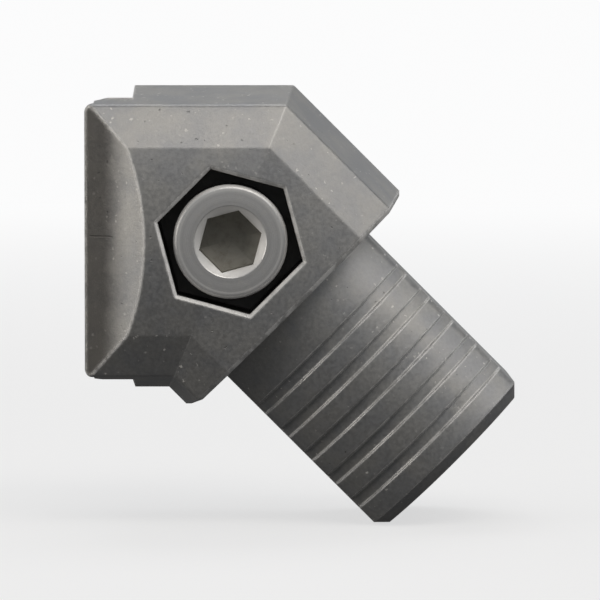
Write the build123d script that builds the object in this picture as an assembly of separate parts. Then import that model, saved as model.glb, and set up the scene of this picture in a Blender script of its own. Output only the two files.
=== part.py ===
# Forty-five degree connector for grooved round tube, in two die-cast halves
# The origin is the middle of the saddle's bed. The upright tube runs along Z, on the -X side,
# and the branch tube leaves down to the right.
# The halves part on the plane Y = 0. The screw head is on the -Y side and the nut on the +Y side.
# Each half is drawn lying on its parting face: x is X, y is Z, and z is the height off that face.
# There x is measured from the tube's axis, until main moves every piece by the depth of the bed.
from build123d import *
from math import cos, radians, sin, tan
import os

# Tubes, in millimetres and degrees
tube_diameter = 28.0
tube_wall = 1.9
tube_clearance = 0.05
branch_angle = 45.0

# Body outline
screw_offset = 9.0
branch_reach = 8.3
half_width = 13.9
side_draft = 1.75
crown_height = 14.35
dome_rise = 0.95
bevel_drop = 2.05
edge_round = 0.45
end_chamfer = 0.35

# Saddle and claws for the upright tube
saddle_wrap_angle = 45.0
lip_thickness = 1.05
lip_corner_round = 0.8
facet_angle = 31.6
rib_bed_half_width = 8.2
rib_bed_clearance = 0.1
claw_reach = 3.7
claw_inner = 4.9
claw_hook = 0.8
claw_tip = 2.1
claw_half_length = 11.2
claw_end_chamfer = 0.6

# Casting walls
wall = 2.4
parting_gap = 0.6
end_wall = 2.6
rib_thickness = 1.8
rib_relief = 2.0
land_half_width = 8.0

# Screw and nut, M6
thread_diameter = 6.0
thread_play = 0.1
thread_chamfer = 0.6
screw_length = 20.0
head_diameter = 10.2
head_height = 6.0
head_round = 0.45
socket_width = 5.0
socket_depth = 3.0
socket_mouth_diameter = 6.5
socket_turn = 15.0
nut_width = 10.0
nut_thickness = 5.0
nut_end_diameter = 9.5
nut_chamfer_angle = 30.0
nut_bore_chamfer = 0.4
nut_play = 0.2

# Hexagon pockets
pocket_width = 11.6
pocket_margin = 1.7
pocket_rim_chamfer = 0.28
head_recess = 0.85
nut_recess = 2.15
nut_hold_depth = 3.5
pocket_floor = 3.0
pocket_wall = 2.0
hole_diameter = 6.6
boss_diameter = 11.4
boss_relief = 0.5
cut_past = 1.0

# Locating pins between the halves
pin_diameter = 2.6
pin_length = 3.0
pin_play = 0.15
pin_boss_diameter = 5.2
pin_offset = 10.0
pin_socket_spare = 0.5
pin_chamfer = 0.4

# Spigot halves for the bore of the branch tube
spigot_clearance = 0.1
spigot_half_width = 9.0
spigot_length = 20.0
spigot_wall = 2.3
spigot_rib_depth = 3.2
spigot_corner_round = 1.6
spigot_lead_in = 1.0
grip_groove_count = 5
grip_groove_width = 1.1
grip_groove_depth = 0.4
grip_groove_pitch = 3.0
grip_first_groove = 4.0

shoulder_half_width = half_width - side_draft
pocket_corner_radius = pocket_width / 2 / cos(radians(30))
face_half_width = pocket_corner_radius + pocket_margin
face_edge_height = crown_height - dome_rise
shoulder_height = face_edge_height - bevel_drop
screw_seat_height = crown_height - head_recess - head_height
nut_seat_height = crown_height - nut_recess - nut_thickness
bend_distance = tube_diameter / 2 + screw_offset
spigot_radius = tube_diameter / 2 - tube_wall - spigot_clearance
turn = radians(branch_angle)
bend = Vector(bend_distance, 0, 0)
upright_side = Plane(origin=(0, 0, 0), x_dir=(0, 1, 0), z_dir=(1, 0, 0))
branch_side = Plane(origin=bend, x_dir=(sin(turn), cos(turn), 0), z_dir=(cos(turn), -sin(turn), 0))
mitre = Plane(origin=bend, z_dir=(cos(turn / 2), -sin(turn / 2), 0))
end_plane = branch_side.offset(branch_reach)
end_wall_plane = branch_side.offset(branch_reach - end_wall)
saddle_radius = tube_diameter / 2 + tube_clearance
rib_bed_x = saddle_radius + rib_bed_clearance
lip_x = saddle_radius * cos(radians(saddle_wrap_angle))
lip_height = saddle_radius * sin(radians(saddle_wrap_angle)) + lip_thickness
half_gap = parting_gap / 2
pocket_turn = 30 - branch_angle
reach_all = 4 * tube_diameter


def beyond(plane):
    # everything past a plane, on the side that it faces
    return plane * Box(
        reach_all, reach_all, reach_all, align=(Align.CENTER, Align.CENTER, Align.MIN)
    )


def above(height):
    return beyond(Plane.XY.offset(height))


def post(diameter, low, high, place=bend):
    # an upright cylinder between two heights
    return Pos(place.X, place.Y, low) * Cylinder(
        diameter / 2, high - low, align=(Align.CENTER, Align.CENTER, Align.MIN)
    )


def hexagon_post(width, angle, low, high):
    outline = RegularPolygon(width / 2, 6, major_radius=False, rotation=angle)
    return Pos(bend.X, bend.Y, low) * extrude(outline, high - low)


def leg_section(inset):
    # domed face, two bevels and drafted sides, the same above and below the parting plane
    dome = ThreePointArc(
        (-face_half_width, face_edge_height), (0, crown_height), (face_half_width, face_edge_height)
    )
    right = Polyline(
        (face_half_width, face_edge_height),
        (shoulder_half_width, shoulder_height),
        (half_width, 0),
    )
    upper = Wire([dome.edge(), *right.edges(), *mirror(right, about=Plane.YZ).edges()])
    section = make_face([*upper.edges(), *mirror(upper, about=Plane.XZ).edges()])
    if inset > 0:
        section = offset(section, -inset, kind=Kind.INTERSECTION)
    return section


def bent_form(inset):
    # the section carried along both tubes, mitred at the bend and cut at the parting face
    section = leg_section(inset)
    upright_leg = extrude(upright_side * section, bend_distance + half_width)
    branch_leg = extrude(branch_side.offset(-half_width) * section, 2 * half_width + branch_reach)
    form = split(upright_leg, bisect_by=mitre, keep=Keep.BOTTOM)
    form += split(branch_leg, bisect_by=mitre, keep=Keep.TOP)
    return form & above(half_gap)


def level_with(edge, height):
    return all(abs(edge.position_at(t).Z - height) < 1e-4 for t in (0, 0.5, 1))


def lies_in(edge, plane):
    return all(abs(plane.to_local_coords(edge.position_at(t)).Z) < 1e-4 for t in (0, 0.5, 1))


def rounded(form):
    # every long edge and the outer corner of the bend, worn round together
    sides = form.edges().filter_by(lambda e: e.center().Z < shoulder_height and e.center().Y > 0)
    corners = sides.filter_by(lambda e: lies_in(e, mitre))
    shoulders = form.edges().filter_by(lambda e: level_with(e, shoulder_height))
    face_edges = form.edges().filter_by(lambda e: level_with(e, face_edge_height))
    return fillet([*corners, *shoulders, *face_edges], edge_round)


def saddle_cut():
    # round bed for the tube, and a flat bed for the rib between the tube's two grooves
    tube_space = Rot(90, 0, 0) * Cylinder(saddle_radius, reach_all)
    rib_bed = Box(2 * rib_bed_x, reach_all, 2 * rib_bed_half_width)
    lip_end = beyond(Plane(origin=(lip_x, 0, 0), z_dir=(-1, 0, 0)))
    return tube_space + rib_bed + lip_end


def facet_cut():
    # flat facet that thins the shell down to the lip
    slope = radians(facet_angle)
    return beyond(Plane(origin=(lip_x, 0, lip_height), z_dir=(-sin(slope), 0, cos(slope))))


def lip_corner_cuts():
    # round the two ends of each lip in plan
    drawn_in = side_draft * (lip_height - lip_thickness / 2) / shoulder_height
    lip_half_length = half_width - drawn_in
    r = lip_corner_round
    outline = Rectangle(2 * r, 2 * r) - Pos(r, -r) * Circle(r)
    corner = Pos(lip_x, lip_half_length, half_gap) * extrude(outline, crown_height)
    return corner + mirror(corner, about=Plane.XZ)


def outer_body():
    body = rounded(bent_form(0)) - beyond(end_plane)
    end_rim = body.edges().filter_by(lambda e: lies_in(e, end_plane) and e.center().Z > half_gap)
    body = chamfer(end_rim, end_chamfer)
    return body - facet_cut() - saddle_cut() - lip_corner_cuts()


def claw():
    # hooked rail that reaches into one groove and pulls on the rib beside it
    tip_x = rib_bed_x - claw_reach
    back_x = (saddle_radius**2 - rib_bed_half_width**2) ** 0.5
    inner_tip = claw_inner - claw_hook
    profile = Polygon(
        (rib_bed_x + wall / 2, claw_inner),
        (rib_bed_x, claw_inner),
        (tip_x, inner_tip),
        (tip_x, inner_tip + claw_tip),
        (back_x, rib_bed_half_width),
        (rib_bed_x + wall / 2, rib_bed_half_width),
        align=None,
    )
    rail = extrude(Plane.XZ * profile, claw_half_length, both=True)
    tip_ends = rail.edges().filter_by(lambda e: abs(e.center().X - tip_x) < 1e-4)
    short_ends = tip_ends.filter_by(lambda e: abs(e.tangent_at(0.5).Z) > 0.5)
    return chamfer(short_ends, claw_end_chamfer)


def pin_place(side):
    # on the mitre line, towards the outside of the bend for +1 and the inside for -1
    return bend + Vector(sin(turn / 2), cos(turn / 2)) * pin_offset * side


def hollow(seat_height):
    # what is cored out from the parting face, round the pocket, the ribs and the bosses
    space = bent_form(wall) - beyond(end_wall_plane)
    space -= Box(2 * (rib_bed_x + wall), reach_all, reach_all)
    pocket_outside = pocket_width + 2 * pocket_wall
    space -= hexagon_post(pocket_outside, pocket_turn, seat_height - pocket_floor, crown_height)
    space -= post(boss_diameter, half_gap + boss_relief, crown_height)
    space -= mitre * Box(reach_all, reach_all, rib_thickness) & above(half_gap + rib_relief)
    for side in (1, -1):
        space -= post(pin_boss_diameter, half_gap, crown_height, pin_place(side))
    return space


def spigot():
    # one half of the plug that goes into the branch tube, open towards the parting face
    outside = Circle(spigot_radius) & Rectangle(2 * spigot_half_width, 2 * spigot_radius)
    outside = fillet(outside.vertices(), spigot_corner_round)
    inner_radius = spigot_radius - spigot_wall
    inner_half_width = spigot_half_width - spigot_wall
    inside = Circle(inner_radius) & Rectangle(2 * inner_half_width, 2 * inner_radius)
    inside = fillet(inside.vertices(), spigot_corner_round)
    inside -= Pos(0, inner_radius) * Rectangle(rib_thickness, 2 * spigot_rib_depth)
    plug = extrude(end_wall_plane * outside, end_wall + spigot_length)
    tip = branch_side.offset(branch_reach + spigot_length)
    plug = chamfer(plug.edges().filter_by(lambda e: lies_in(e, tip)), spigot_lead_in)
    plug -= extrude(end_plane * inside, spigot_length)
    for number in range(grip_groove_count):
        start = branch_reach + grip_first_groove + number * grip_groove_pitch
        ring = Circle(2 * spigot_radius) - Circle(spigot_radius - grip_groove_depth)
        plug -= extrude(branch_side.offset(start) * ring, grip_groove_width)
    return plug & above(half_gap)


def land():
    # the two end walls rock on each other here when the screw is tightened
    bar = Box(2 * land_half_width, half_gap, end_wall, align=(Align.CENTER, Align.MIN, Align.MIN))
    return end_wall_plane * bar


def pin(side):
    peg = Pos(0, 0, -pin_length) * Cylinder(
        pin_diameter / 2, pin_length + half_gap, align=(Align.CENTER, Align.CENTER, Align.MIN)
    )
    peg = chamfer(peg.edges().sort_by(Axis.Z)[0], pin_chamfer)
    place = pin_place(side)
    return Pos(place.X, place.Y, 0) * peg


def pocket_above(width, height):
    return hexagon_post(width, pocket_turn, height, 2 * crown_height)


def screw_pocket():
    return pocket_above(pocket_width, screw_seat_height)


def nut_pocket():
    # as wide as the screw's at the mouth, then close round the nut so that it can't turn
    wide = pocket_above(pocket_width, nut_seat_height + nut_hold_depth)
    return wide + pocket_above(nut_width + nut_play, nut_seat_height)


def mouth_edges(body, pocket):
    # the edges between the domed face and the walls of the pocket
    walls = pocket.faces().filter_by(lambda f: abs(f.normal_at().Z) < 0.5)
    high = body.edges().filter_by(lambda e: e.center().Z > shoulder_height)
    level = high.filter_by(lambda e: abs(e.tangent_at(0.5).Z) < 0.5)
    return level.filter_by(lambda e: min(w.distance_to(e.center()) for w in walls) < 1e-4)


def shell(pocket, seat_height, pin_side):
    # one half lying on its parting face
    body = outer_body() - hollow(seat_height) + spigot() + land() + pin(pin_side) + claw()
    body -= pocket
    body = chamfer(mouth_edges(body, pocket), pocket_rim_chamfer)
    body -= post(hole_diameter, -cut_past, seat_height + cut_past)
    socket_depth = pin_length + pin_socket_spare
    return body - post(pin_diameter + 2 * pin_play, 0, socket_depth, pin_place(-pin_side))


def clamp_screw():
    # socket head cap screw, drawn with its head up and its seat at the screw pocket's floor
    head_top = screw_seat_height + head_height
    tip = screw_seat_height - screw_length
    head = post(head_diameter, screw_seat_height, head_top)
    head = fillet(head.edges().filter_by(lambda e: level_with(e, head_top)), head_round)
    head -= hexagon_post(socket_width, socket_turn, head_top - socket_depth, head_top + cut_past)
    head -= Pos(bend.X, bend.Y, head_top) * socket_mouth()
    shank = post(thread_diameter - thread_play, tip, screw_seat_height)
    shank = chamfer(shank.edges().filter_by(lambda e: level_with(e, tip)), thread_chamfer)
    return head + shank


def socket_mouth():
    # shallow cone that opens the hexagon socket
    depth = (socket_mouth_diameter - socket_width) / 2 * tan(radians(30))
    cone = Cone(socket_width / 2, socket_mouth_diameter / 2, depth)
    return Pos(0, 0, -depth / 2) * cone


def hex_nut():
    # drawn with its seat at the nut pocket's floor, corners chamfered at both ends
    top = nut_seat_height + nut_thickness
    corner_radius = nut_width / 2 / cos(radians(30))
    end_radius = nut_end_diameter / 2
    drop = (corner_radius - end_radius) * tan(radians(nut_chamfer_angle))
    profile = Polygon(
        (0, nut_seat_height),
        (end_radius, nut_seat_height),
        (corner_radius, nut_seat_height + drop),
        (corner_radius, top - drop),
        (end_radius, top),
        (0, top),
        align=None,
    )
    turned = Pos(bend.X, bend.Y, 0) * revolve(Plane.XZ * profile, Axis.Z)
    nut = turned & hexagon_post(nut_width, pocket_turn, nut_seat_height, top)
    nut -= post(thread_diameter, nut_seat_height, top)
    ends = nut.edges().filter_by(bore_edge)
    return chamfer(ends, nut_bore_chamfer)


def bore_edge(edge):
    return edge.geom_type == GeomType.CIRCLE and abs(edge.radius - thread_diameter / 2) < 1e-4


def main():
    screw_side = Pos(-rib_bed_x, 0, 0) * Rot(90, 0, 0)
    parts = {
        "screw_side_shell": screw_side * shell(screw_pocket(), screw_seat_height, 1),
        "nut_side_shell": mirror(
            screw_side * shell(nut_pocket(), nut_seat_height, -1), about=Plane.XZ
        ),
        "clamp_screw": screw_side * clamp_screw(),
        "hex_nut": mirror(screw_side * hex_nut(), about=Plane.XZ),
    }
    os.makedirs("parts", exist_ok=True)
    for name, piece in parts.items():
        export_step(piece, f"parts/{name}.step")


main()
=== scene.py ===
import math

import bmesh
import bpy
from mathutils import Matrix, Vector


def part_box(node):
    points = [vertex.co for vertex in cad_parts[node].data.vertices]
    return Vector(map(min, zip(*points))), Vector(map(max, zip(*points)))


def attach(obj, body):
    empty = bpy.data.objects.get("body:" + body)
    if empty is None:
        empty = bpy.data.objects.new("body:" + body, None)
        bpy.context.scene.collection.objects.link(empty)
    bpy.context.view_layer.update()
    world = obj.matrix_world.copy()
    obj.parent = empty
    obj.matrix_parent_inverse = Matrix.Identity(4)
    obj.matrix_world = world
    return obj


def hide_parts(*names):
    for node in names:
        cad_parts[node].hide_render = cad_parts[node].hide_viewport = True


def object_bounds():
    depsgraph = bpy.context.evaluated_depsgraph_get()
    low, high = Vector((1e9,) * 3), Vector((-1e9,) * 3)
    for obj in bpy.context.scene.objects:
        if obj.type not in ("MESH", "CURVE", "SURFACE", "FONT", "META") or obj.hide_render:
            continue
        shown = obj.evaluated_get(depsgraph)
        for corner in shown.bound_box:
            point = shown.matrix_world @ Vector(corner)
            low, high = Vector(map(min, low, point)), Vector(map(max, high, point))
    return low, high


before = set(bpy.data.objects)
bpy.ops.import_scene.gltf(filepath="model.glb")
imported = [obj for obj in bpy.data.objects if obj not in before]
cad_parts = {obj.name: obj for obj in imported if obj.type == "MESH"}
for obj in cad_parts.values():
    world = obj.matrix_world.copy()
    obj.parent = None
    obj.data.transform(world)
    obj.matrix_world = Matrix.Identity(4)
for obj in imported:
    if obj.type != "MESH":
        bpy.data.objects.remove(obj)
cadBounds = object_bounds()
scene = bpy.context.scene
print("frame loaded with", ", ".join(sorted(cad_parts)))

# the body bends here, on the screw's axis, beside the origin
bend = Vector((0.00885, 0, 0))
whole = (0, 1)      # the range of a value that already runs from 0 to 1
edgeSamples = 6     # rays that find an edge


# small helpers that every material uses

def addNode(tree, kind, inputs=None, **settings):
    node = tree.nodes.new(kind)
    for key, value in settings.items():
        setattr(node, key, value)
    for key, value in (inputs or {}).items():
        feed(tree, node.inputs[key], value)
    return node


def feed(tree, socket, value):
    # a socket takes either another node's output or a plain value
    if isinstance(value, bpy.types.NodeSocket):
        tree.links.new(value, socket)
    else:
        socket.default_value = value


def calc(tree, operation, first, second=0.0):
    node = addNode(tree, "ShaderNodeMath", operation=operation)
    feed(tree, node.inputs[0], first)
    feed(tree, node.inputs[1], second)
    return node.outputs[0]


def times(tree, product, *others):
    for value in others:
        product = calc(tree, "MULTIPLY", product, value)
    return product


def most(tree, largest, *others):
    for value in others:
        largest = calc(tree, "MAXIMUM", largest, value)
    return largest


def between(tree, value, low, high):
    # 1 between two limits and 0 outside them
    above = calc(tree, "GREATER_THAN", value, low)
    return times(tree, above, calc(tree, "LESS_THAN", value, high))


def gap(tree, value, middle):
    # how far a value is from another, either way
    return calc(tree, "ABSOLUTE", calc(tree, "SUBTRACT", value, middle))


def vectorCalc(tree, operation, first, second=(0, 0, 0)):
    node = addNode(tree, "ShaderNodeVectorMath", {0: first, 1: second}, operation=operation)
    return node.outputs["Value" if operation in ("DOT_PRODUCT", "LENGTH") else "Vector"]


def fade(tree, value, start, end, low=0.0, high=1.0):
    # turns a value from start to end into one from low to high, and stays there past them
    node = addNode(tree, "ShaderNodeMapRange", {
        "Value": value, "From Min": start, "From Max": end, "To Min": low, "To Max": high},
        interpolation_type="SMOOTHSTEP")
    return node.outputs["Result"]


def blendColour(tree, amount, first, second, mode="MIX"):
    node = addNode(tree, "ShaderNodeMix", data_type="RGBA", blend_type=mode)
    feed(tree, node.inputs[0], amount)
    feed(tree, node.inputs[6], first)
    feed(tree, node.inputs[7], second)
    return node.outputs[2]


def noise(tree, place, scale, detail, roughness):
    node = addNode(tree, "ShaderNodeTexNoise", {
        "Vector": place, "Scale": scale, "Detail": detail, "Roughness": roughness})
    return node.outputs["Fac"]


def sides(tree, vector):
    # along X, away from the parting plane, and up
    parts = addNode(tree, "ShaderNodeSeparateXYZ", {"Vector": vector})
    return parts.outputs["X"], calc(tree, "ABSOLUTE", parts.outputs["Y"]), parts.outputs["Z"]


def aboutScrew(tree, place):
    # the same place, measured from the screw's axis
    return vectorCalc(tree, "SUBTRACT", place, bend)


fleckShape = {
    "wobble": (2.5, 2.0),       # scale against the cells', and detail
    "wobbleReach": 0.7,
    "edge": (0.05, -0.03),
}


def flecks(tree, place, scale, share, radius):
    # ragged dots: one per cell in a share of the cells, each with its own size
    s = fleckShape
    finer, detail = s["wobble"]
    wobble = addNode(tree, "ShaderNodeTexNoise", {
        "Vector": place, "Scale": scale * finer, "Detail": detail}).outputs["Color"]
    reach = s["wobbleReach"] / scale
    shift = vectorCalc(tree, "MULTIPLY", wobble, (reach, reach, reach))
    cells = addNode(tree, "ShaderNodeTexVoronoi", {
        "Vector": vectorCalc(tree, "ADD", place, shift), "Scale": scale})
    pick = addNode(tree, "ShaderNodeSeparateColor", {"Color": cells.outputs["Color"]})
    chosen = calc(tree, "LESS_THAN", pick.outputs["Red"], share)
    size = times(tree, pick.outputs["Green"], radius)
    off = calc(tree, "SUBTRACT", cells.outputs["Distance"], size)
    return times(tree, fade(tree, off, *s["edge"]), chosen)


def edgeTurn(tree, radius):
    # 1 on flats and less towards an edge: how far a rounded normal turns from the face's own
    bevel = addNode(tree, "ShaderNodeBevel", {"Radius": radius}, samples=edgeSamples)
    rounded = bevel.outputs[0]
    own = addNode(tree, "ShaderNodeNewGeometry").outputs["Normal"]
    return vectorCalc(tree, "DOT_PRODUCT", rounded, own), rounded


def emptyTree(owner):
    owner.use_nodes = True
    owner.node_tree.nodes.clear()
    return owner.node_tree


def startMaterial(name):
    material = bpy.data.materials.new(name)
    tree = emptyTree(material)
    shader = addNode(tree, "ShaderNodeBsdfPrincipled")
    addNode(tree, "ShaderNodeOutputMaterial", {"Surface": shader.outputs[0]})
    place = addNode(tree, "ShaderNodeTexCoord").outputs["Object"]
    return material, tree, shader, place


def setSurface(tree, shader, colour, metallic, roughness):
    feed(tree, shader.inputs["Base Color"], colour)
    feed(tree, shader.inputs["Metallic"], metallic)
    feed(tree, shader.inputs["Roughness"], roughness)


def addBump(tree, shader, height, rounded, strength, distance):
    bump = addNode(tree, "ShaderNodeBump", {
        "Strength": strength, "Distance": distance, "Height": height, "Normal": rounded})
    feed(tree, shader.inputs["Normal"], bump.outputs[0])


# the two cast halves: tumbled aluminium with pale specks, pits, rubbed edges, painted highlights
# on the pocket rims and the seat's chamfer, and painted shade on the facet and in the pockets

casting = {
    "warmTint": (0.43, 0.425, 0.412, 1),
    "coolTint": (0.37, 0.373, 0.38, 1),
    "speckTint": (0.90, 0.88, 0.84, 1),
    "pitTint": (0.10, 0.095, 0.09, 1),
    # rubbed metal, also used for painted highlights on chamfers and on the screw's rim
    "rubbedHighlightTint": (0.93, 0.92, 0.90, 1),
    # painted shade, on the facet's lip and inside the pockets
    "paintedShadeTint": (0.045, 0.042, 0.038, 1),
    "metallic": (0.8, 0.15),            # bare metal, then rubbed or specked
    "roughness": (0.38, 0.52),
    "rubbedHighlightPolish": 0.12,
    # noises: scale, detail and roughness; fades: from where to where, and from what to what
    "mottleNoise": (260, 6, 0.6),
    "mottleFade": (0.35, 0.65),
    "grainNoise": (3000, 5, 0.7),
    "grainFade": (0.3, 0.7),
    "grainShade": (0.88, 1.10),
    "patchNoise": (900, 5, 0.65),
    "patchFade": (0.36, 0.58),
    "clusterNoise": (330, 3, 0.5),
    "clusterFade": (0.42, 0.6),
    "chipNoise": (1900, 4, 0.65),
    "chipFade": (0.38, 0.56, 0.35, 1.0),
    # flecks: scale, share of the cells and radius
    "specks": (1700, 0.8, 0.22),
    "specksBySlope": (0.93, 0.99, 0.8, 0.25),
    "pits": (1500, 0.25, 0.13),
    "pitAmount": 0.5,
    # how far the normal turns at blunt and at sharp edges, and how worn each is
    "edgeRadius": 0.00032,
    "softEdge": (0.9985, 0.975),
    "softWear": (0.112, 0.28),
    "hardEdge": (0.965, 0.93),
    "hardWear": (0.5, 1.0),
    # the facet along the saddle, with its chipped edge, painted shade towards its lip and a
    # scored line
    "facetRadius": 0.0006,
    "facetEdge": (0.996, 0.978),
    "facetLean": (-0.08, -0.2),
    "facetOutward": 0.82,
    "facetEnd": 0.003,
    "facetFacing": (-0.30, -0.45),
    "facetFlatness": (0.70, 0.80),
    "facetShadeFade": (0.0004, -0.0025),
    "facetShadeRagged": 0.0004,
    "facetShadeAmount": 0.88,
    "scoreHeight": 0.0004,
    "scoreEdge": (0.000105, 0.000035),
    "scoreStart": (-0.0036, -0.0034),
    "scoreEnd": (-0.0013, -0.0016),
    "scoreAmount": 0.6,
    # the chamfer round the seat at the end of the body, along the way that the seat faces; it is
    # worn and painted bright as a highlight
    "seatAxis": (0.70710678, 0, -0.70710678),
    "seatSpan": (0.014158, 0.014568),
    "seatSlant": (0.3, 0.93),
    "seatWearAndHighlight": (0.45, 0.95),
    # the hexagon pockets, with a painted highlight on their rims and painted shade inside them
    "pocketHalf": 0.0058,
    "pocketTurn": 15,
    "pocketMouth": 0.0131,
    "pocketSlack": 0.0001,
    "rimWidth": 0.00028,
    "rimEdge": (0.62, 0.48),            # shares of the rim's width
    "rimWearAndHighlight": (0.6, 1.0),
    "rimFlatness": 0.4,
    "pocketShadeFade": (0.0135, 0.0129),
    "pocketShadeAmount": 0.8,
    # relief: share of the height, then strength and depth of the whole
    "relief": {"grain": 0.5, "mottle": 0.25, "pits": -1.2, "score": -0.8},
    "bump": (0.55, 0.00004),
}


def hexReach(tree, place, turn):
    # distance from the screw's axis to the flats of a hexagon that has one flat at this angle
    moved = aboutScrew(tree, place)
    furthest = 0.0
    for k in range(3):
        angle = math.radians(turn + 60 * k)
        across = vectorCalc(tree, "DOT_PRODUCT", moved, (math.cos(angle), 0, math.sin(angle)))
        furthest = most(tree, furthest, calc(tree, "ABSOLUTE", across))
    return furthest


def paintedPocketShade(tree, hexagon, depth):
    # painted shade darkens the pockets round the screw head and the nut, below their mouths
    s = casting
    inside = calc(tree, "LESS_THAN", hexagon, s["pocketHalf"] + s["pocketSlack"])
    return times(tree, inside, fade(tree, depth, *s["pocketShadeFade"]))


def wornEdges(tree, turn, patchy):
    # blunt edges have worn a little, sharp ones more
    s = casting
    soft = fade(tree, patchy, *whole, *s["softWear"])
    hard = fade(tree, patchy, *whole, *s["hardWear"])
    return most(
        tree,
        times(tree, fade(tree, turn, *s["softEdge"]), soft),
        times(tree, fade(tree, turn, *s["hardEdge"]), hard))


def chippedFacet(tree, place, rounded, along):
    # the edge round the saddle's facet is chipped bright
    s = casting
    lean, outward = sides(tree, rounded)[:2]
    return times(
        tree,
        fade(tree, edgeTurn(tree, s["facetRadius"])[0], *s["facetEdge"]),
        fade(tree, lean, *s["facetLean"]),
        calc(tree, "GREATER_THAN", outward, s["facetOutward"]),
        calc(tree, "LESS_THAN", along, s["facetEnd"]),
        fade(tree, noise(tree, place, *s["chipNoise"]), *s["chipFade"]))


def wornHighlitRims(tree, hexagon, depth, flatness, patchy):
    # the chamfered rims of the two pockets are worn bright, and painted brighter still as a
    # highlight
    s = casting
    width = s["rimWidth"]
    off = gap(tree, hexagon, s["pocketHalf"] + width / 2)
    return times(
        tree,
        fade(tree, off, *(width * share for share in s["rimEdge"])),
        fade(tree, patchy, *whole, *s["rimWearAndHighlight"]),
        calc(tree, "GREATER_THAN", depth, s["pocketMouth"]),
        calc(tree, "GREATER_THAN", flatness, s["rimFlatness"]))


def wornHighlitSeat(tree, place, own, patchy):
    # so is the chamfer round the seat at the end of the body: worn, and painted bright as a
    # highlight
    s = casting
    reach = vectorCalc(tree, "DOT_PRODUCT", place, s["seatAxis"])
    slant = vectorCalc(tree, "DOT_PRODUCT", own, s["seatAxis"])
    return times(
        tree,
        between(tree, reach, *s["seatSpan"]),
        between(tree, slant, *s["seatSlant"]),
        fade(tree, patchy, *whole, *s["seatWearAndHighlight"]))


def scoredLine(tree, ragged, up):
    # a short scored line half way up the facet
    s = casting
    return times(
        tree,
        fade(tree, gap(tree, up, s["scoreHeight"]), *s["scoreEdge"]),
        fade(tree, ragged, *s["scoreStart"]),
        fade(tree, ragged, *s["scoreEnd"]))


def castMetal():
    s = casting
    material, tree, shader, place = startMaterial("castMetal")
    mottle = fade(tree, noise(tree, place, *s["mottleNoise"]), *s["mottleFade"])
    grain = noise(tree, place, *s["grainNoise"])
    patchy = fade(tree, noise(tree, place, *s["patchNoise"]), *s["patchFade"])
    pits = flecks(tree, place, *s["pits"])
    turn, rounded = edgeTurn(tree, s["edgeRadius"])
    own = addNode(tree, "ShaderNodeTexCoord").outputs["Normal"]
    facing, flatness = sides(tree, own)[:2]
    along, depth, up = sides(tree, place)
    hexagon = hexReach(tree, place, s["pocketTurn"])
    pocketShade = paintedPocketShade(tree, hexagon, depth)

    # what is rubbed bright, with a painted highlight on the pocket rims and the seat's chamfer,
    # but not inside the pockets, which hold painted shade
    edges = most(tree, wornEdges(tree, turn, patchy), chippedFacet(tree, place, rounded, along))
    rubbedAndHighlit = most(
        tree,
        times(tree, edges, calc(tree, "SUBTRACT", 1.0, pocketShade)),
        wornHighlitRims(tree, hexagon, depth, flatness, patchy),
        wornHighlitSeat(tree, place, own, patchy))

    # painted shade darkens the facet along the saddle towards its lip
    onFacet = times(tree, fade(tree, facing, *s["facetFacing"]),
                    fade(tree, flatness, *s["facetFlatness"]))
    ragged = calc(tree, "ADD", along, times(tree, mottle, s["facetShadeRagged"]))
    facetShade = times(tree, fade(tree, ragged, *s["facetShadeFade"]), onFacet, s["facetShadeAmount"])
    score = times(tree, scoredLine(tree, ragged, up), onFacet)

    # pale specks lie mostly on the slopes, where the castings knocked together
    specks = times(
        tree,
        flecks(tree, place, *s["specks"]),
        fade(tree, noise(tree, place, *s["clusterNoise"]), *s["clusterFade"]),
        fade(tree, flatness, *s["specksBySlope"]),
        calc(tree, "SUBTRACT", 1.0, most(tree, facetShade, pocketShade)))

    colour = blendColour(tree, mottle, s["coolTint"], s["warmTint"])
    shade = fade(tree, grain, *s["grainFade"], *s["grainShade"])
    colour = blendColour(tree, 1.0, colour, shade, "MULTIPLY")
    for amount, tint in (
            (facetShade, "paintedShadeTint"),
            (times(tree, score, s["scoreAmount"]), "pitTint"),
            (times(tree, pocketShade, s["pocketShadeAmount"]), "paintedShadeTint"),
            (times(tree, pits, s["pitAmount"]), "pitTint"),
            (specks, "speckTint"),
            (rubbedAndHighlit, "rubbedHighlightTint")):
        colour = blendColour(tree, amount, colour, s[tint])

    metallic = fade(tree, most(tree, rubbedAndHighlit, specks), *whole, *s["metallic"])
    rough = fade(tree, grain, *s["grainFade"], *s["roughness"])
    polish = times(tree, rubbedAndHighlit, s["rubbedHighlightPolish"])
    setSurface(tree, shader, colour, metallic, calc(tree, "SUBTRACT", rough, polish))

    height = 0.0
    layers = {"grain": grain, "mottle": mottle, "pits": pits, "score": score}
    for name, share in s["relief"].items():
        height = calc(tree, "ADD", height, times(tree, layers[name], share))
    addBump(tree, shader, height, rounded, *s["bump"])
    return material


# the clamp screw: plain steel, its head turned flat and lightly scuffed

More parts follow.
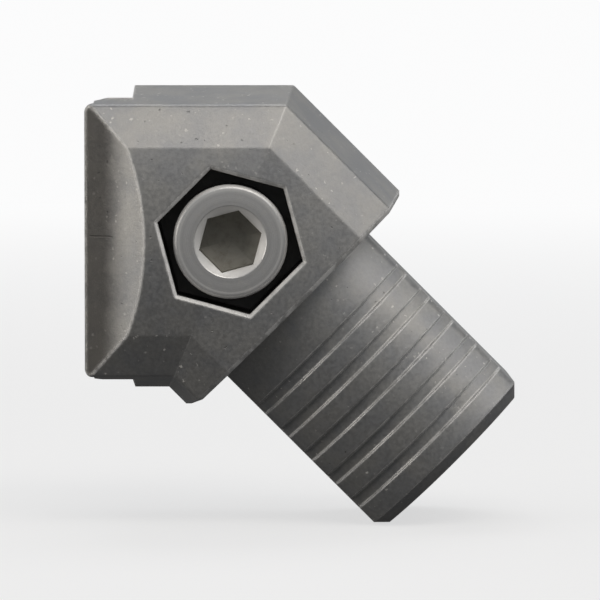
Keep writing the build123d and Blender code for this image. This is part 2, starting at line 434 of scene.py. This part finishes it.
screwSteel = {
    "tint": (0.78, 0.775, 0.765, 1),
    "darkTint": (0.52, 0.51, 0.49, 1),
    "rubbedHighlightTint": (0.90, 0.89, 0.87, 1),
    "socketTint": (0.30, 0.285, 0.24, 1),
    "roughness": (0.42, 0.54),
    "metallic": (0.9, 0.3),
    # the head, its knurl and its socket
    "headRadius": 0.0051,
    "headHeight": 0.006,
    "headRound": 0.00045,
    "roundSteps": 6,
    "seatInset": 0.0003,
    "knurlCount": 48,
    "knurlDepth": 0.00012,
    "knurlShape": (0, 0.55, 1, 0.55),
    "knurlStart": (0.0008, 0.0011),     # below the top, at no depth and at full depth
    "knurlEnd": (0.0005, 0.0003),       # above the seat, at full depth and at none
    "socketWidth": 0.005,
    "socketDepth": 0.003,
    "socketMouth": 0.00325,
    "socketSlope": 30,
    "socketTurn": 15,
    "coneDepth": 0.0006,
    "coneEnd": 0.25,
    # the thread: each section as a share of the pitch and of the depth
    "shankRadius": 0.00295,
    "threadPitch": 0.001,
    "threadDepth": 0.00058,
    "threadSection": ((0.0, 0), (0.36, 1), (0.48, 1), (0.84, 0)),
    "threadSteps": 48,
    "neck": 0.0008,
    "tipChamfer": 0.0006,
    "sharpFrom": 25,
    # turned rings and scuffs: scale, detail and roughness
    "ringNoise": (5200, 3, 0.6),
    "broadNoise": (1820, 4, 0.7),
    "broadFade": (0.3, 0.7, 0.84, 1.12),
    "scuffNoise": (1500, 6, 0.7),
    "scuffFade": (0.45, 0.7),
    "scuffAmount": 0.45,
    "bump": (0.35, 0.00001),
    # what is worn bright and painted brighter as a highlight, by distance from the axis and below
    # the top
    "edgeRadius": 0.00007,
    "edgeFade": (0.985, 0.85),
    "edgeAmount": 0.7,
    "rimFade": (0.00476, 0.005),
    "ringRadius": 0.00458,
    "ringFade": (0.00012, 0.00004, 0, 0.35),
    "rimDepth": (0.0006, 0.0003),
    "mouthReach": 0.0032825,
    "mouthStart": (0.00002, 0.00006),
    "mouthEnd": (0.0005, 0.0004),
    "mouthAmount": 0.8,
    "wornHighlightRoughness": 0.14,
    # the darker, browner inside of the socket
    "socketDarkReach": 0.0030225,
    "socketDarkFade": (0.0002, 0.0007),
    "socketDarkEnd": 0.0045,
    "socketDarkAmount": 0.8,
    "socketDarkRoughness": 0.2,
}


def screwEnds():
    # the head's top and the tip, along Y
    low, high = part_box("clamp_screw")
    return low.y, high.y


def hexRadius(angle, width, turn):
    # from the axis to the wall of a hexagon, at an angle in degrees
    offset = (angle - turn) % 60 - 30
    return width / 2 / math.cos(math.radians(offset))


def headRings():
    # rings of the head from the floor of its socket, over the rim, to the seat
    s = screwSteel
    shape = s["knurlShape"]
    steps = s["knurlCount"] * len(shape)
    top = screwEnds()[0]
    seat = top + s["headHeight"]
    angles = [360 * k / steps for k in range(steps)]
    walls = [hexRadius(a, s["socketWidth"], s["socketTurn"]) for a in angles]
    slope = math.tan(math.radians(s["socketSlope"]))
    floor = top + s["socketDepth"]
    rings = [
        [(s["coneEnd"] * w, floor + s["coneDepth"]) for w in walls],
        [(w, floor) for w in walls],
        [(w, top + (s["socketMouth"] - w) * slope) for w in walls],
        [(s["socketMouth"], top)] * steps,
    ]
    arc = s["headRound"]
    flat = s["headRadius"] - arc
    for k in range(s["roundSteps"] + 1):
        turn = math.radians(90 * k / s["roundSteps"])
        rings.append([(flat + arc * math.sin(turn), top + arc * (1 - math.cos(turn)))] * steps)
    knurl = [top + drop for drop in s["knurlStart"]] + [seat - rise for rise in s["knurlEnd"]]
    for y, depth in zip(knurl, (0, 1, 1, 0)):
        rings.append([(s["headRadius"] - depth * s["knurlDepth"] * shape[k % len(shape)], y)
                      for k in range(steps)])
    rings.append([(s["headRadius"] - s["seatInset"], seat)] * steps)
    return angles, rings


def onRing(angle, radius, y):
    a = math.radians(angle)
    return (bend.x + radius * math.cos(a), y, radius * math.sin(a))


def skinHead(verts, faces):
    # joins the head's rings, closes the socket's floor, and leaves the seat open
    angles, rings = headRings()
    steps = len(angles)
    for ring in rings:
        for angle, (radius, y) in zip(angles, ring):
            verts.append(onRing(angle, radius, y))
    for row in range(len(rings) - 1):
        for k in range(steps):
            here, there = row * steps + k, row * steps + (k + 1) % steps
            faces.append((here, here + steps, there + steps, there))
    verts.append((bend.x, rings[0][0][1], 0))
    for k in range(steps):
        faces.append((len(verts) - 1, k, (k + 1) % steps))
    return (len(rings) - 1) * steps, steps


def threadRadius(y, radius, start, tip):
    # the groove runs out below the head, and the tip is chamfered
    s = screwSteel
    crest = s["shankRadius"]
    radius = max(radius, crest - max(0.0, y - start - s["neck"]))
    return min(radius, crest - max(0.0, y - (tip - s["tipChamfer"])))


def skinThread(verts, faces, seatRing, seatSteps):
    # a ribbon wound along the shank, with root, flank, crest and flank in each section
    s = screwSteel
    top, tip = screwEnds()
    start = top + s["headHeight"]
    steps = s["threadSteps"]
    pitch = s["threadPitch"]
    turns = int((tip - start) / pitch) + 3      # a turn to spare before the seat and past the tip
    crest = s["shankRadius"]
    root = crest - s["threadDepth"]
    section = [(along, root + height * s["threadDepth"]) for along, height in s["threadSection"]]
    points = {}     # the number of each point made so far

    def pointKey(n, y, radius):
        # points closer than a hundredth of a micrometre are one
        return n % steps, round(y, 8), round(threadRadius(y, radius, start, tip), 8)

    def pointAt(n, along, radius):
        y = min(max(start + pitch * (n / steps - 1 + along), start), tip)
        key = pointKey(n, y, radius)
        if key not in points:
            points[key] = len(verts)
            verts.append(onRing(360 * key[0] / steps, key[2], y))
        return points[key]

    rows = [[pointAt(n, *corner) for corner in section] for n in range(turns * steps + 1)]
    for n in range((turns - 1) * steps):
        here = rows[n] + [rows[n + steps][0]]
        there = rows[n + 1] + [rows[n + 1 + steps][0]]
        for j in range(len(section)):
            corners = (here[j], here[j + 1], there[j + 1], there[j])
            kept = [v for k, v in enumerate(corners) if v != corners[k - 1]]
            if len(set(kept)) > 2:
                faces.append(tuple(kept))

    # the seat's ring is finer than the thread's, so a face under the head takes in several steps
    neckRing = [points[pointKey(k, start, crest)] for k in range(steps)]
    share = seatSteps // steps
    for k in range(steps):
        outer = [seatRing + (k * share + j) % seatSteps for j in range(share + 1)]
        faces.append(tuple(outer[::-1] + [neckRing[k], neckRing[(k + 1) % steps]]))
    faces.append(tuple(points[pointKey(k, tip, root)] for k in range(steps)))


def satinSteel():
    s = screwSteel
    material, tree, shader, place = startMaterial("satinSteel")
    fromAxis = vectorCalc(tree, "MULTIPLY", aboutScrew(tree, place), (1, 0, 1))
    radius = vectorCalc(tree, "LENGTH", fromAxis)
    across = addNode(tree, "ShaderNodeCombineXYZ", {"X": radius}).outputs[0]
    depth = addNode(tree, "ShaderNodeSeparateXYZ", {"Vector": place}).outputs["Y"]
    below = calc(tree, "SUBTRACT", depth, screwEnds()[0])
    scuffs = fade(tree, noise(tree, place, *s["scuffNoise"]), *s["scuffFade"])
    turn, rounded = edgeTurn(tree, s["edgeRadius"])

    # the head's rim and the mouth of its socket are worn bright, and painted brighter still as a
    # highlight
    rim = most(tree, fade(tree, radius, *s["rimFade"]),
               fade(tree, gap(tree, radius, s["ringRadius"]), *s["ringFade"]))
    rim = times(tree, rim, fade(tree, below, *s["rimDepth"]))
    mouth = times(
        tree,
        fade(tree, below, *s["mouthStart"]),
        fade(tree, below, *s["mouthEnd"]),
        calc(tree, "LESS_THAN", radius, s["mouthReach"]),
        s["mouthAmount"])
    edges = times(tree, fade(tree, turn, *s["edgeFade"]), s["edgeAmount"])
    wornAndHighlit = most(tree, edges, rim, mouth)
    # the inside of the socket is darker, browner and rougher
    socketDark = times(
        tree,
        fade(tree, below, *s["socketDarkFade"]),
        calc(tree, "LESS_THAN", radius, s["socketDarkReach"]),
        calc(tree, "LESS_THAN", below, s["socketDarkEnd"]))

    colour = blendColour(tree, times(tree, scuffs, s["scuffAmount"]), s["tint"], s["darkTint"])
    broad = fade(tree, noise(tree, across, *s["broadNoise"]), *s["broadFade"])
    colour = blendColour(tree, 1.0, colour, broad, "MULTIPLY")
    colour = blendColour(tree, wornAndHighlit, colour, s["rubbedHighlightTint"])
    colour = blendColour(tree, times(tree, socketDark, s["socketDarkAmount"]), colour, s["socketTint"])

    metallic = fade(tree, wornAndHighlit, *whole, *s["metallic"])
    rougher = most(tree, times(tree, socketDark, s["socketDarkRoughness"]),
                   times(tree, wornAndHighlit, s["wornHighlightRoughness"]))
    rough = calc(tree, "ADD", fade(tree, scuffs, *whole, *s["roughness"]), rougher)
    setSurface(tree, shader, colour, metallic, rough)
    rings = noise(tree, across, *s["ringNoise"])
    addBump(tree, shader, rings, rounded, *s["bump"])
    return material


def clampScrew():
    verts, faces = [], []
    seatRing, seatSteps = skinHead(verts, faces)
    skinThread(verts, faces, seatRing, seatSteps)
    mesh = bpy.data.meshes.new("clampScrew")
    mesh.from_pydata(verts, [], faces)
    work = bmesh.new()
    work.from_mesh(mesh)
    bmesh.ops.recalc_face_normals(work, faces=work.faces)
    openEdges = sum(not edge.is_manifold for edge in work.edges)
    work.to_mesh(mesh)
    work.free()
    for face in mesh.polygons:
        face.use_smooth = True
    mesh.set_sharp_from_angle(angle=math.radians(screwSteel["sharpFrom"]))
    mesh.materials.append(satinSteel())
    screw = bpy.data.objects.new("clampScrew", mesh)
    scene.collection.objects.link(screw)
    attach(screw, "root")
    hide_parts("clamp_screw")
    print("screw made with", len(faces), "faces and", openEdges, "open edges")


# the nut: zinc plated, a little brighter and bluer than the screw

nutZinc = {
    "tint": (0.58, 0.60, 0.63, 1),
    "dullTint": (0.38, 0.39, 0.41, 1),
    "edgeTint": (0.8, 0.8, 0.82, 1),
    "metallic": 1.0,
    "roughness": (0.24, 0.42),
    "cloudNoise": (500, 5, 0.6),
    "cloudFade": (0.35, 0.7),
    "grainNoise": (3000, 4, 0.6),
    "edgeRadius": 0.00025,
    "edgeFade": (0.985, 0.86),
    "edgeAmount": 0.5,
    "bump": (0.25, 0.00002),
}


def zincPlate():
    s = nutZinc
    material, tree, shader, place = startMaterial("zincPlate")
    clouds = fade(tree, noise(tree, place, *s["cloudNoise"]), *s["cloudFade"])
    turn, rounded = edgeTurn(tree, s["edgeRadius"])
    edges = times(tree, fade(tree, turn, *s["edgeFade"]), s["edgeAmount"])
    colour = blendColour(tree, clouds, s["tint"], s["dullTint"])
    colour = blendColour(tree, edges, colour, s["edgeTint"])
    rough = fade(tree, clouds, *whole, *s["roughness"])
    setSurface(tree, shader, colour, s["metallic"], rough)
    addBump(tree, shader, noise(tree, place, *s["grainNoise"]), rounded, *s["bump"])
    return material


def dressNode(name, material):
    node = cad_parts[name]
    for slot in node.material_slots:
        slot.material = material
    print("finish on", name)


metal = castMetal()
dressNode("screw_side_shell", metal)
dressNode("nut_side_shell", metal)
clampScrew()
dressNode("hex_nut", zincPlate())


# a pale floor just under the lowest point, a pale room and soft lamps

studio = {
    "floorSize": 6.0,
    "floorGap": 0.0002,
    "darkPaper": (0.06, 0.06, 0.06, 1),
    "lightPaper": (0.86, 0.86, 0.86, 1),
    "paleTint": (0.97, 0.97, 0.972, 1),
    "seenPale": (0.65, 1.0),
    "paleFrom": (0.08, 0.9),
    "mirroredPale": 0.06,
    "skyTint": (0.222, 0.228, 0.235, 1),
    "lampAim": (0.015, 0, -0.005),
    # each lamp's place, size, power and tint
    "lamps": {
        "keyAbove": ((0.24, -0.46, 0.605), (0.75, 0.35), 2.1, (1.0, 0.955, 0.90)),
        "fillLeft": ((-0.70, -0.38, 0.12), (0.35, 0.45), 1.6, (1.0, 0.95, 0.88)),
        "fillRight": ((0.72, -0.10, 0.20), (0.40, 0.60), 0.8, (1.0, 0.99, 0.98)),
        "fillBack": ((0.05, 0.45, 0.75), (0.6, 0.4), 1.6, (1, 1, 1)),
        "fillCorner": ((0.50, 0.80, 0.20), (0.4, 0.4), 0.3, (1, 1, 1)),
        "fillRear": ((-0.60, 0.50, 0.12), (0.9, 0.7), 1.7, (1, 1, 1)),
    },
}


def palePaper():
    # dark to the object, pale to the camera, and paler still further away
    s = studio
    material = bpy.data.materials.new("palePaper")
    tree = emptyTree(material)
    ray = addNode(tree, "ShaderNodeLightPath")
    tint = blendColour(tree, ray.outputs["Is Camera Ray"], s["darkPaper"], s["lightPaper"])
    paper = addNode(tree, "ShaderNodeBsdfDiffuse", {"Color": tint})
    pale = addNode(tree, "ShaderNodeEmission", {"Color": s["paleTint"], "Strength": 1.0})
    place = addNode(tree, "ShaderNodeTexCoord").outputs["Object"]
    away = vectorCalc(tree, "LENGTH", place)
    share = fade(tree, away, *s["paleFrom"], *s["seenPale"])
    seen = times(tree, ray.outputs["Is Camera Ray"], share)
    mirrored = times(tree, ray.outputs["Is Glossy Ray"], s["mirroredPale"])
    mix = addNode(tree, "ShaderNodeMixShader", {
        0: calc(tree, "ADD", seen, mirrored), 1: paper.outputs[0], 2: pale.outputs[0]})
    addNode(tree, "ShaderNodeOutputMaterial", {"Surface": mix.outputs[0]})
    return material


def paleFloor():
    half = studio["floorSize"] / 2
    level = cadBounds[0][2] - studio["floorGap"]
    mesh = bpy.data.meshes.new("floor")
    corners = [(x * half, y * half, level) for x, y in ((-1, -1), (1, -1), (1, 1), (-1, 1))]
    mesh.from_pydata(corners, [], [(0, 1, 2, 3)])
    mesh.materials.append(palePaper())
    floor = bpy.data.objects.new("floor", mesh)
    scene.collection.objects.link(floor)


def paleWorld():
    world = bpy.data.worlds.new("paleRoom")
    tree = emptyTree(world)
    ray = addNode(tree, "ShaderNodeLightPath")
    tint = blendColour(tree, ray.outputs["Is Camera Ray"], studio["skyTint"], studio["paleTint"])
    light = addNode(tree, "ShaderNodeBackground", {"Color": tint, "Strength": 1.0})
    addNode(tree, "ShaderNodeOutputWorld", {"Surface": light.outputs[0]})
    scene.world = world


def aimAt(item, place, target):
    item.location = place
    direction = Vector(target) - Vector(place)
    item.rotation_euler = direction.to_track_quat("-Z", "Y").to_euler()
    scene.collection.objects.link(item)


def softbox(name, place, size, power, tint):
    lamp = bpy.data.lights.new(name, "AREA")
    lamp.shape = "RECTANGLE"
    lamp.size, lamp.size_y = size
    lamp.energy = power
    lamp.color = tint
    aimAt(bpy.data.objects.new(name, lamp), place, studio["lampAim"])


paleFloor()
paleWorld()
for name, settings in studio["lamps"].items():
    softbox(name, *settings)
print("studio ready")


# the camera stands where the photograph was taken from, with a longer lens

view = {
    "place": (0.0123, -0.419, 0.0162),
    "aim": (0.01515, 0, -0.0059),
    "lens": 273.6,
    "sensor": 36,
    "clip": (0.01, 20),
}


def placeCamera():
    data = bpy.data.cameras.new("camera")
    data.lens = view["lens"]
    data.sensor_width = view["sensor"]
    data.clip_start, data.clip_end = view["clip"]
    camera = bpy.data.objects.new("camera", data)
    aimAt(camera, view["place"], view["aim"])
    scene.camera = camera
    print("camera placed")


placeCamera()
scene.view_settings.view_transform = "Standard"
